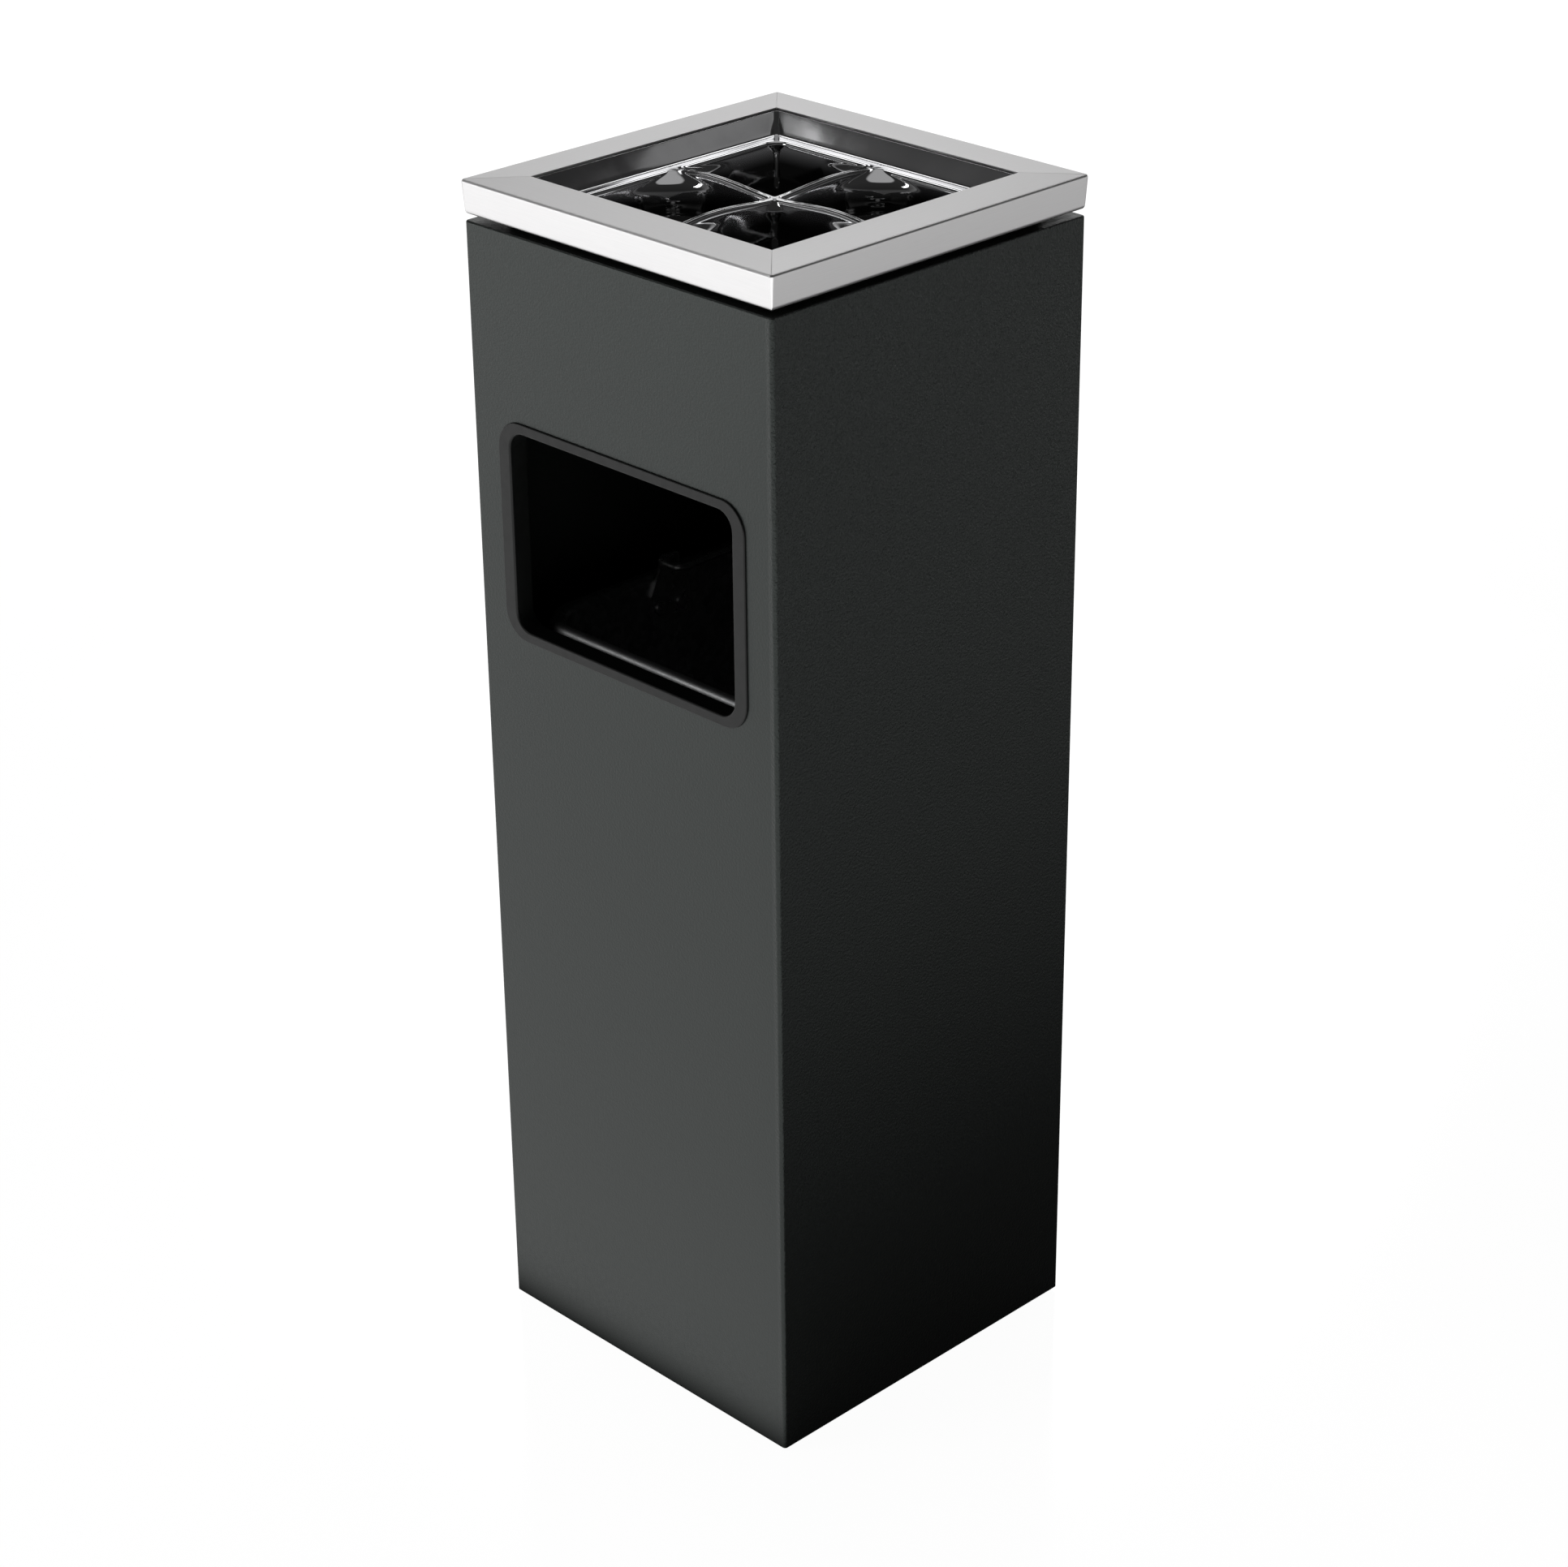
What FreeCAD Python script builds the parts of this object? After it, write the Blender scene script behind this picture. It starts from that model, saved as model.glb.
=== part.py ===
import FreeCAD, Part
import math
import os

# Square ashtray bin: a sheet-steel column with a waste opening in its front face, a loose
# galvanised bucket inside it, and a lift-off stainless ashtray on top.
#
# Millimetres. +Z is up and -Y is the front, where the waste opening is. The origin is on the
# floor, in the middle of the column's square footprint. "Half" is a distance from that middle.

os.makedirs("parts", exist_ok=True)

# Column
BODY_WIDTH = 200.0
BODY_HEIGHT = 580.5
BODY_SHEET = 1.0
BODY_CORNER_R = 2.0
BODY_TOP_BEND_R = 0.9
FOOT_GAP = 2.0                  # floor to the column's lower edge
TOP_OPENING_HALF = 87.5         # clear square inside the turned-in top edge
TOP_OPENING_R = 12.0
TOP_LIP_DROP = 6.0
SEAM_WIDTH = 0.5                # butt seam down the middle of the back
SEAM_DEPTH = 0.4

# Waste opening and its moulded trim
OPENING_WIDTH = 148.0
OPENING_HEIGHT = 99.5
OPENING_R = 9.0
OPENING_CENTRE = 435.5          # above the column's lower edge
TRIM_WIDTH = 164.0
TRIM_HEIGHT = 110.0
TRIM_R = 14.5
TRIM_PROUD = 1.0
TRIM_EDGE_R = 0.6
TRIM_WALL = 2.0                 # sleeve that passes through the sheet
TRIM_DEPTH = 9.0                # the sleeve's reach behind the front face
TRIM_CLEARANCE = 0.2
BARB_REACH = 1.2
BARB_DEPTH = 3.0
BARB_LENGTH = 14.0
BARB_ROOT = 0.5
BARB_SPREAD_X = 42.0
BARB_SPREAD_Z = 24.0

# Base plate, feet and their fasteners
BASE_TOP = 13.2                 # floor to the upper face of the base plate
BASE_SHEET = 1.2
BASE_FLANGE = 8.0
BASE_CORNER_R = 3.0
FOOT_INSET = 85.0               # each foot's axis from the centre planes
FOOT_TOP_R = 12.0
FOOT_TOE_R = 10.5
FOOT_TOE_EDGE_R = 1.0
FOOT_BORE_R = 6.0
FOOT_BORE_DEPTH = 6.0
SCREW_R = 2.5
SCREW_HEAD_R = 4.75
SCREW_HEAD_HEIGHT = 2.75
SCREW_HEAD_EDGE_R = 1.0
SCREW_CLEARANCE = 0.25
SCREW_TAIL = 1.5                # thread that shows above the nut
THREAD_CLEARANCE = 0.05
SOCKET_ACROSS_FLATS = 3.0
SOCKET_DEPTH = 1.6
WASHER_R = 5.0
WASHER_THICKNESS = 1.0
NUT_ACROSS_FLATS = 8.0
NUT_HEIGHT = 4.0

# Ashtray: rim, dish and the collar that locates it in the column
RIM_HALF = 101.0
RIM_BAND = 23.0                 # width of the top band
RIM_OUTER_Z = 601.7             # floor to the band's outer edge
RIM_RISE = 1.0                  # the band rises this much towards its inner edge
RIM_SHEET = 1.0
RIM_BEND_R = 1.2
SKIRT_DROP = 16.5
SKIRT_LEAN = 1.2
SKIRT_ROLL_R = 2.5
SKIRT_LIP = 5.0
DISH_SHEET = 0.8
DISH_MOUTH_HALF = 77.6
DISH_LEDGE_HALF = 70.7
DISH_LEDGE_DROP = 9.7           # below the band's outer edge
DISH_CORNER_R = 4.0
DISH_FLANGE = 7.0
POCKET_OUTER = 64.5             # pocket walls, where they would meet the ledge unrounded
POCKET_INNER = 3.1
POCKET_R = 10.0
POCKET_DEPTH = 22.0
POCKET_DRAFT = 4.0
POCKET_MOUTH_R = 3.0
POCKET_FLOOR_R = 6.0
COLLAR_SHEET = 1.2
COLLAR_HALF = 90.0
COLLAR_CORNER_R = 14.0
COLLAR_BEND_R = 1.5
COLLAR_TOP_FLANGE = 9.0
TONGUE_HALF = 86.7
TONGUE_DROP = 9.0

# Bucket
BUCKET_INNER_HALF = 78.0
BUCKET_INNER_R = 20.0
BUCKET_SHEET = 0.7
BEAD_TOP = 386.5                # floor to the top of the rolled bead
BEAD_R = 4.0
RIM_WIRE_R = 3.2
CURL_TURN = 295.0               # degrees that the rolled edge turns round its wire
BOTTOM_RECESS = 6.0
BOTTOM_BEND_R = 1.2
BOTTOM_CLEARANCE = 0.05
EAR_SHEET = 1.5
EAR_WIDTH = 26.0
EAR_NECK = 13.0
EAR_FOOT_BELOW = 26.0           # below the bead's top
EAR_SHOULDER_BELOW = 11.0
EAR_ABOVE_PIVOT = 6.5
EAR_CORNER_R = 3.0
PIVOT_CLEARANCE = 0.08
RIVET_R = 2.0
RIVET_HEAD_R = 3.6
RIVET_HEAD_HEIGHT = 1.2
RIVET_HEAD_EDGE_R = 0.8
RIVET_HALF_SPACING = 7.0
RIVETS_BELOW = 18.5             # below the bead's top
BAIL_WIRE_R = 2.0
BAIL_PIVOT_ABOVE = 2.6          # above the bead's top
BAIL_ARM_X = 70.5
BAIL_REACH = 82.0
BAIL_BEND_R = 12.0
BAIL_HOOK_X = 82.0
BAIL_HOOK_LENGTH = 9.0
BAIL_HOOK_BEND_R = 3.0

V = FreeCAD.Vector
ORIGIN = V(0, 0, 0)
UP = V(0, 0, 1)
SIDEWAYS = V(1, 0, 0)
BACKWARDS = V(0, 1, 0)
BEYOND = 5.0                    # how far cutting tools run past what they cut

BODY_HALF = BODY_WIDTH / 2
BODY_TOP = FOOT_GAP + BODY_HEIGHT
OPENING_Z = FOOT_GAP + OPENING_CENTRE
LEDGE_Z = RIM_OUTER_Z - DISH_LEDGE_DROP
POCKET_FLOOR_Z = LEDGE_Z - POCKET_DEPTH
BEAD_HALF = BUCKET_INNER_HALF + BEAD_R
BEAD_Z = BEAD_TOP - BEAD_R
PIVOT_Z = BEAD_TOP + BAIL_PIVOT_ABOVE


def band_underside(half):
    """Height of the underside of the rim's sloping band."""
    rise = RIM_RISE * (RIM_HALF - half) / RIM_BAND
    slope = math.atan2(RIM_RISE, RIM_BAND)
    return RIM_OUTER_Z + rise - RIM_SHEET / math.cos(slope)


DISH_MOUTH_Z = band_underside(DISH_MOUTH_HALF + DISH_FLANGE)
COLLAR_TOP = DISH_MOUTH_Z - DISH_SHEET


# ---------------------------------------------------------------- shared shapes


def export(node, shape):
    shape.exportStep("parts/" + node + ".step")


def rounded_path(corners, radii, closed):
    """Edges of straight runs joined by tangent arcs, one radius for each corner."""
    count = len(corners)
    starts = []
    ends = []
    arcs = []
    for i in range(count):
        corner = corners[i]
        if radii[i] == 0 or (not closed and i in (0, count - 1)):
            starts.append(corner)
            ends.append(corner)
            arcs.append(None)
            continue
        back = (corners[i - 1] - corner).normalize()
        ahead = (corners[(i + 1) % count] - corner).normalize()
        half_angle = back.getAngle(ahead) / 2
        reach = radii[i] / math.tan(half_angle)
        to_arc = radii[i] / math.sin(half_angle) - radii[i]
        middle = corner + (back + ahead).normalize() * to_arc
        starts.append(corner + back * reach)
        ends.append(corner + ahead * reach)
        arcs.append(Part.Arc(starts[i], middle, ends[i]).toShape())
    edges = []
    for i in range(count):
        if arcs[i] is not None:
            edges.append(arcs[i])
        following = (i + 1) % count
        if following == 0 and not closed:
            break
        if ends[i].distanceToPoint(starts[following]) > 1e-6:
            edges.append(Part.makeLine(ends[i], starts[following]))
    return edges


def rounded_face(corners, radii):
    return Part.Face(Part.Wire(rounded_path(corners, radii, True)))


def rectangle_face(width, depth, radius, centre=ORIGIN):
    x = width / 2
    y = depth / 2
    corners = [centre + V(*p, 0) for p in ((-x, -y), (x, -y), (x, y), (-x, y))]
    return rounded_face(corners, [radius] * 4)


def square_block(half, radius, low, high):
    face = rectangle_face(2 * half, 2 * half, radius)
    face.translate(UP * low)
    return face.extrude(UP * (high - low))


def square_ring(outer_half, outer_r, inner_half, inner_r, low, high):
    outer = square_block(outer_half, outer_r, low, high)
    return outer.cut(square_block(inner_half, inner_r, low - BEYOND, high + BEYOND))


def through_front(width, height, radius, near, far):
    """Rounded-rectangle prism about the waste opening's axis, from y = near to y = far."""
    block = rectangle_face(width, height, radius)
    block.rotate(ORIGIN, SIDEWAYS, 90)
    block.translate(V(0, near, OPENING_Z))
    return block.extrude(BACKWARDS * (far - near))


def hexagon_prism(across_flats, height, base):
    corner = across_flats / math.sqrt(3)
    angles = [math.radians(60 * step) for step in range(7)]
    points = [base + V(corner * math.cos(a), corner * math.sin(a), 0) for a in angles]
    return Part.Face(Part.makePolygon(points)).extrude(UP * height)


def sheet_section(skin, radii, thickness):
    """Face of a folded sheet in the YZ plane. Walking along the skin, the metal is on the left."""
    directions = []
    for start, end in zip(skin, skin[1:]):
        length = math.hypot(end[0] - start[0], end[1] - start[1])
        directions.append(((end[0] - start[0]) / length, (end[1] - start[1]) / length))
    inner = []
    inner_radii = []
    for i, (y, z) in enumerate(skin):
        before = directions[max(i - 1, 0)]
        after = directions[min(i, len(directions) - 1)]
        normal = (-before[1] - after[1], before[0] + after[0])
        scale = thickness / (1 + before[0] * after[0] + before[1] * after[1])
        inner.append((y + normal[0] * scale, z + normal[1] * scale))
        turn = before[0] * after[1] - before[1] * after[0]
        change = -thickness if turn > 0 else thickness
        inner_radii.append(max(radii[i] + change, 0.2) if radii[i] else 0)
    outline = [V(0, y, z) for y, z in skin + inner[::-1]]
    return rounded_face(outline, radii + inner_radii[::-1])


def four_fold(shape):
    """The shape and its three copies, in quarter turns round the vertical axis."""
    copies = [shape.copy() for turn in range(4)]
    for turn, copy in enumerate(copies):
        copy.rotate(ORIGIN, UP, 90 * turn)
    return copies


def joined(solids):
    return solids[0].multiFuse(solids[1:]).removeSplitter()


def mitred_loop(section, reach):
    """Square frame with mitred corners; section is the front side's, in the YZ plane."""
    bar = section.copy()
    bar.translate(V(-reach, 0, 0))
    bar = bar.extrude(SIDEWAYS * (2 * reach))
    low = section.BoundBox.ZMin - BEYOND
    high = section.BoundBox.ZMax + BEYOND
    corners = [V(0, 0, low), V(reach, -reach, low), V(-reach, -reach, low), V(0, 0, low)]
    wedge = Part.Face(Part.makePolygon(corners)).extrude(UP * (high - low))
    return joined(four_fold(bar.common(wedge)))


def rounded_loop(section, straight):
    """Square frame with swept corners, turned about centres straight from the centre planes."""
    bar = section.copy()
    bar.translate(V(-straight, 0, 0))
    bar = bar.extrude(SIDEWAYS * (2 * straight))
    corner = section.copy()
    corner.translate(V(straight, 0, 0))
    corner = corner.revolve(V(straight, -straight, 0), UP, 90)
    return joined(four_fold(bar.fuse(corner)))


def round_section(radius, half, height):
    circle = Part.makeCircle(radius, V(0, -half, height), SIDEWAYS)
    return Part.Face(Part.Wire(circle))


# ---------------------------------------------------------------- column


def body_shell():
    inside = BODY_HALF - BODY_SHEET
    inner_r = BODY_CORNER_R - BODY_SHEET
    walls = square_ring(BODY_HALF, BODY_CORNER_R, inside, inner_r, FOOT_GAP, BODY_TOP)
    flange = square_ring(
        BODY_HALF, BODY_CORNER_R, TOP_OPENING_HALF, TOP_OPENING_R, BODY_TOP - BODY_SHEET, BODY_TOP
    )
    lip = square_ring(
        TOP_OPENING_HALF + BODY_SHEET, TOP_OPENING_R + BODY_SHEET,
        TOP_OPENING_HALF, TOP_OPENING_R, BODY_TOP - TOP_LIP_DROP, BODY_TOP
    )
    shell = joined([walls, flange, lip])
    shell = shell.makeFillet(BODY_TOP_BEND_R, top_outline(shell))
    allowance = 2 * (TRIM_WALL + TRIM_CLEARANCE)
    hole_r = OPENING_R + TRIM_WALL + TRIM_CLEARANCE
    shell = shell.cut(through_front(
        OPENING_WIDTH + allowance, OPENING_HEIGHT + allowance, hole_r,
        -BODY_HALF - BEYOND, -BODY_HALF + BEYOND
    ))
    seam = Part.makeBox(
        SEAM_WIDTH, SEAM_DEPTH + BEYOND, BODY_HEIGHT + 2 * BEYOND,
        V(-SEAM_WIDTH / 2, BODY_HALF - SEAM_DEPTH, FOOT_GAP - BEYOND)
    )
    return shell.cut(seam)


def top_outline(shell):
    """Outer edges of the column's upper face."""
    found = []
    for edge in shell.Edges:
        box = edge.BoundBox
        outermost = max(-box.XMin, box.XMax, -box.YMin, box.YMax)
        if abs(box.ZMin - BODY_TOP) < 1e-4 and outermost > BODY_HALF - 1e-4:
            found.append(edge)
    return found


def opening_trim():
    front = -BODY_HALF - TRIM_PROUD
    flange = through_front(TRIM_WIDTH, TRIM_HEIGHT, TRIM_R, front, -BODY_HALF)
    rim = [edge for edge in flange.Edges if edge.BoundBox.YMax < front + 1e-4]
    flange = flange.makeFillet(TRIM_EDGE_R, rim)
    sleeve = through_front(
        OPENING_WIDTH + 2 * TRIM_WALL, OPENING_HEIGHT + 2 * TRIM_WALL, OPENING_R + TRIM_WALL,
        front + TRIM_EDGE_R, -BODY_HALF + TRIM_DEPTH
    )
    barbs = []
    for quarter in range(4):
        upright = quarter % 2 == 0
        reach = (OPENING_HEIGHT if upright else OPENING_WIDTH) / 2 + TRIM_WALL
        spread = BARB_SPREAD_X if upright else BARB_SPREAD_Z
        for place in (-spread, spread):
            barbs.append(trim_barb(reach, place, 90 * quarter))
    trim = joined([flange, sleeve] + barbs)
    return trim.cut(through_front(
        OPENING_WIDTH, OPENING_HEIGHT, OPENING_R, front - BEYOND, -BODY_HALF + TRIM_DEPTH + BEYOND
    ))


def trim_barb(reach, place, angle):
    """Snap-in wedge on the sleeve, just behind the sheet; turned about the opening's axis."""
    catch = -BODY_HALF + BODY_SHEET + TRIM_CLEARANCE
    low = OPENING_Z + reach
    corners = [
        V(place - BARB_LENGTH / 2, catch, low - BARB_ROOT),
        V(place - BARB_LENGTH / 2, catch, low + BARB_REACH),
        V(place - BARB_LENGTH / 2, catch + BARB_DEPTH, low - BARB_ROOT),
    ]
    barb = Part.Face(Part.makePolygon(corners + corners[:1])).extrude(SIDEWAYS * BARB_LENGTH)
    barb.rotate(V(0, 0, OPENING_Z), BACKWARDS, angle)
    return barb


def foot_places():
    names = ("front_left", "front_right", "rear_right", "rear_left")
    signs = ((-1, -1), (1, -1), (1, 1), (-1, 1))
    return {name: V(x * FOOT_INSET, y * FOOT_INSET, 0) for name, (x, y) in zip(names, signs)}


def base_plate():
    """Floor of the column: a pan with its edges turned down inside the walls."""
    outside = BODY_HALF - BODY_SHEET
    low = BASE_TOP - BASE_SHEET - BASE_FLANGE
    pan = square_block(outside, BASE_CORNER_R, low, BASE_TOP)
    bend = [edge for edge in pan.Edges if edge.BoundBox.ZMin > BASE_TOP - 1e-4]
    pan = pan.makeFillet(BASE_SHEET, bend)
    pan = pan.cut(square_block(
        outside - BASE_SHEET, BASE_CORNER_R - BASE_SHEET, low - BEYOND, BASE_TOP - BASE_SHEET
    ))
    for place in foot_places().values():
        pan = pan.cut(Part.makeCylinder(SCREW_R + SCREW_CLEARANCE, BASE_TOP + BEYOND, place))
    return pan


def rubber_foot(place):
    height = BASE_TOP - BASE_SHEET
    foot = Part.makeCone(FOOT_TOE_R, FOOT_TOP_R, height, place)
    toe = [edge for edge in foot.Edges if edge.BoundBox.ZMax < 1e-4]
    foot = foot.makeFillet(FOOT_TOE_EDGE_R, toe)
    foot = foot.cut(Part.makeCylinder(FOOT_BORE_R, FOOT_BORE_DEPTH + BEYOND, place - UP * BEYOND))
    return foot.cut(Part.makeCylinder(SCREW_R + SCREW_CLEARANCE, height + BEYOND, place))


def foot_screw(place):
    head_low = FOOT_BORE_DEPTH - SCREW_HEAD_HEIGHT
    head = Part.makeCylinder(SCREW_HEAD_R, SCREW_HEAD_HEIGHT, place + UP * head_low)
    rim = [edge for edge in head.Edges if edge.BoundBox.ZMax < head_low + 1e-4]
    head = head.makeFillet(SCREW_HEAD_EDGE_R, rim)
    tip = BASE_TOP + WASHER_THICKNESS + NUT_HEIGHT + SCREW_TAIL
    shank = Part.makeCylinder(SCREW_R, tip - head_low - SOCKET_DEPTH,
                              place + UP * (head_low + SOCKET_DEPTH))
    socket_low = place + UP * (head_low - BEYOND)
    socket = hexagon_prism(SOCKET_ACROSS_FLATS, BEYOND + SOCKET_DEPTH, socket_low)
    return joined([head, shank]).cut(socket)


def foot_washer(place):
    washer = Part.makeCylinder(WASHER_R, WASHER_THICKNESS, place + UP * BASE_TOP)
    return washer.cut(Part.makeCylinder(SCREW_R + SCREW_CLEARANCE, BASE_TOP + BEYOND, place))


def foot_nut(place):
    low = BASE_TOP + WASHER_THICKNESS
    nut = hexagon_prism(NUT_ACROSS_FLATS, NUT_HEIGHT, place + UP * low)
    return nut.cut(Part.makeCylinder(SCREW_R + THREAD_CLEARANCE, low + NUT_HEIGHT + BEYOND, place))


# ---------------------------------------------------------------- ashtray


def rim_frame():
    skirt_foot = RIM_OUTER_Z - SKIRT_DROP
    skin = [
        (-RIM_HALF + RIM_BAND, RIM_OUTER_Z + RIM_RISE),
        (-RIM_HALF, RIM_OUTER_Z),
        (-RIM_HALF + SKIRT_LEAN, skirt_foot),
        (-RIM_HALF + SKIRT_LEAN + SKIRT_LIP, skirt_foot),
    ]
    section = sheet_section(skin, [0, RIM_BEND_R, SKIRT_ROLL_R, 0], RIM_SHEET)
    return mitred_loop(section, RIM_HALF + BEYOND)


def dish_hollow(grow):
    """The space inside the dish; grown by the sheet's thickness, it is the dish's outside."""
    mouth = rectangle_face(
        2 * (DISH_MOUTH_HALF + grow), 2 * (DISH_MOUTH_HALF + grow), DISH_CORNER_R + grow
    ).OuterWire
    mouth.translate(UP * DISH_MOUTH_Z)
    ledge = rectangle_face(
        2 * (DISH_LEDGE_HALF + grow), 2 * (DISH_LEDGE_HALF + grow), DISH_CORNER_R + grow
    ).OuterWire
    ledge.translate(UP * (LEDGE_Z - grow))
    funnel = Part.makeLoft([mouth, ledge], True, True)
    hollow = joined([funnel] + four_fold(dish_pocket(grow)))
    lips = [edge for edge in hollow.Edges if is_pocket_lip(edge, grow)]
    return hollow.makeFillet(POCKET_MOUTH_R - grow, lips)


def dish_pocket(grow):
    middle = (POCKET_OUTER + POCKET_INNER) / 2
    width = POCKET_OUTER - POCKET_INNER + 2 * grow
    centre = V(middle, middle, 0)
    top = rectangle_face(width, width, POCKET_R + grow, centre).OuterWire
    top.translate(UP * (LEDGE_Z - grow))
    floor_width = width - 2 * POCKET_DRAFT
    floor = rectangle_face(floor_width, floor_width, POCKET_R + grow - POCKET_DRAFT, centre).OuterWire
    floor.translate(UP * (POCKET_FLOOR_Z - grow))
    pocket = Part.makeLoft([top, floor], True, True)
    sole = [edge for edge in pocket.Edges if edge.BoundBox.ZMax < POCKET_FLOOR_Z - grow + 1e-4]
    return pocket.makeFillet(POCKET_FLOOR_R + grow, sole)


def is_pocket_lip(edge, grow):
    """True for the edges where a pocket's walls meet the ledge."""
    box = edge.BoundBox
    level = abs(box.ZMin - LEDGE_Z + grow) < 1e-4 and abs(box.ZMax - LEDGE_Z + grow) < 1e-4
    reach = max(-box.XMin, box.XMax, -box.YMin, box.YMax)
    return level and reach < POCKET_OUTER + 2 * grow + 1e-4


def ash_dish():
    flange_half = DISH_MOUTH_HALF + DISH_FLANGE
    flange = square_block(
        flange_half, DISH_CORNER_R + DISH_FLANGE, DISH_MOUTH_Z - DISH_SHEET, DISH_MOUTH_Z
    )
    return joined([flange, dish_hollow(DISH_SHEET)]).cut(dish_hollow(0))


def seat_collar():
    skin = [
        (-COLLAR_HALF + COLLAR_TOP_FLANGE, COLLAR_TOP),
        (-COLLAR_HALF, COLLAR_TOP),
        (-COLLAR_HALF, BODY_TOP),
        (-TONGUE_HALF, BODY_TOP),
        (-TONGUE_HALF, BODY_TOP - TONGUE_DROP),
    ]
    radii = [0, COLLAR_BEND_R, COLLAR_BEND_R, 0, 0]
    return rounded_loop(sheet_section(skin, radii, COLLAR_SHEET), COLLAR_HALF - COLLAR_CORNER_R)


# ---------------------------------------------------------------- bucket


def bucket_section():
    """Section of the bucket's front wall, whose upper edge is rolled outwards round the wire."""
    def curl(radius, degrees):
        angle = math.radians(degrees)
        return V(0, radius * math.cos(angle) - BEAD_HALF, radius * math.sin(angle) + BEAD_Z)

    wire_side = BEAD_R - BUCKET_SHEET
    inner_foot = V(0, -BUCKET_INNER_HALF, BASE_TOP)
    outer_foot = V(0, -BUCKET_INNER_HALF - BUCKET_SHEET, BASE_TOP)
    skin = Part.Arc(curl(BEAD_R, 0), curl(BEAD_R, CURL_TURN / 2), curl(BEAD_R, CURL_TURN))
    lining = Part.Arc(curl(wire_side, CURL_TURN), curl(wire_side, CURL_TURN / 2), curl(wire_side, 0))
    return Part.Face(Part.Wire([
        Part.makeLine(inner_foot, curl(BEAD_R, 0)),
        skin.toShape(),
        Part.makeLine(curl(BEAD_R, CURL_TURN), curl(wire_side, CURL_TURN)),
        lining.toShape(),
        Part.makeLine(curl(wire_side, 0), outer_foot),
        Part.makeLine(outer_foot, inner_foot),
    ]))


def bucket_wall():
    wall = rounded_loop(bucket_section(), BUCKET_INNER_HALF - BUCKET_INNER_R)
    for place in rivet_places():
        wall = wall.cut(Part.makeCylinder(
            RIVET_R, 2 * BEYOND, place - SIDEWAYS * BEYOND, SIDEWAYS
        ))
    return wall


def bucket_rim_wire():
    return rounded_loop(
        round_section(RIM_WIRE_R, BEAD_HALF, BEAD_Z), BUCKET_INNER_HALF - BUCKET_INNER_R
    )


def bucket_bottom():
    half = BUCKET_INNER_HALF - BOTTOM_CLEARANCE
    radius = BUCKET_INNER_R - BOTTOM_CLEARANCE
    high = BASE_TOP + BOTTOM_RECESS + BUCKET_SHEET
    pan = square_block(half, radius, BASE_TOP, high)
    bend = [edge for edge in pan.Edges if edge.BoundBox.ZMin > high - 1e-4]
    pan = pan.makeFillet(BOTTOM_BEND_R, bend)
    return pan.cut(square_block(
        half - BUCKET_SHEET, radius - BUCKET_SHEET, BASE_TOP - BEYOND, high - BUCKET_SHEET
    ))


def rivet_places():
    """Where the four rivets' axes, along X, cross the bucket's inner faces."""
    z = BEAD_TOP - RIVETS_BELOW
    return [
        V(side * BUCKET_INNER_HALF, y, z)
        for side in (-1, 1) for y in (-RIVET_HALF_SPACING, RIVET_HALF_SPACING)
    ]


def bail_ear(side):
    foot = BEAD_TOP - EAR_FOOT_BELOW
    shoulder = BEAD_TOP - EAR_SHOULDER_BELOW
    top = PIVOT_Z + EAR_ABOVE_PIVOT
    x = BUCKET_INNER_HALF - EAR_SHEET
    right_half = [(EAR_WIDTH / 2, foot), (EAR_WIDTH / 2, shoulder), (EAR_NECK / 2, PIVOT_Z),
                  (EAR_NECK / 2, top)]
    outline = right_half + [(-y, z) for y, z in right_half[::-1]]
    radii = [EAR_CORNER_R, EAR_CORNER_R, 0, EAR_CORNER_R]
    ear = rounded_face([V(x, y, z) for y, z in outline], radii + radii[::-1])
    ear = ear.extrude(SIDEWAYS * EAR_SHEET)
    if side < 0:
        ear = ear.mirror(ORIGIN, SIDEWAYS)
    across = V(side * BUCKET_INNER_HALF, 0, PIVOT_Z) - SIDEWAYS * BEYOND
    ear = ear.cut(Part.makeCylinder(BAIL_WIRE_R + PIVOT_CLEARANCE, 2 * BEYOND, across, SIDEWAYS))
    for place in rivet_places():
        ear = ear.cut(Part.makeCylinder(
            RIVET_R, 2 * BEYOND, place - SIDEWAYS * BEYOND, SIDEWAYS
        ))
    return ear


def ear_rivet(place):
    side = 1 if place.x > 0 else -1
    outward = SIDEWAYS * side
    inner = place - outward * EAR_SHEET
    outer = place + outward * BUCKET_SHEET
    shank = Part.makeCylinder(RIVET_R, EAR_SHEET + BUCKET_SHEET, inner, outward)
    heads = [rivet_head(inner, -outward), rivet_head(outer, outward)]
    return joined([shank] + heads)


def rivet_head(base, direction):
    head = Part.makeCylinder(RIVET_HEAD_R, RIVET_HEAD_HEIGHT, base, direction)
    crown = base + direction * RIVET_HEAD_HEIGHT
    rim = [edge for edge in head.Edges if abs(edge.BoundBox.XMax - crown.x) < 1e-4
           and abs(edge.BoundBox.XMin - crown.x) < 1e-4]
    return head.makeFillet(RIVET_HEAD_EDGE_R, rim)


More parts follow.
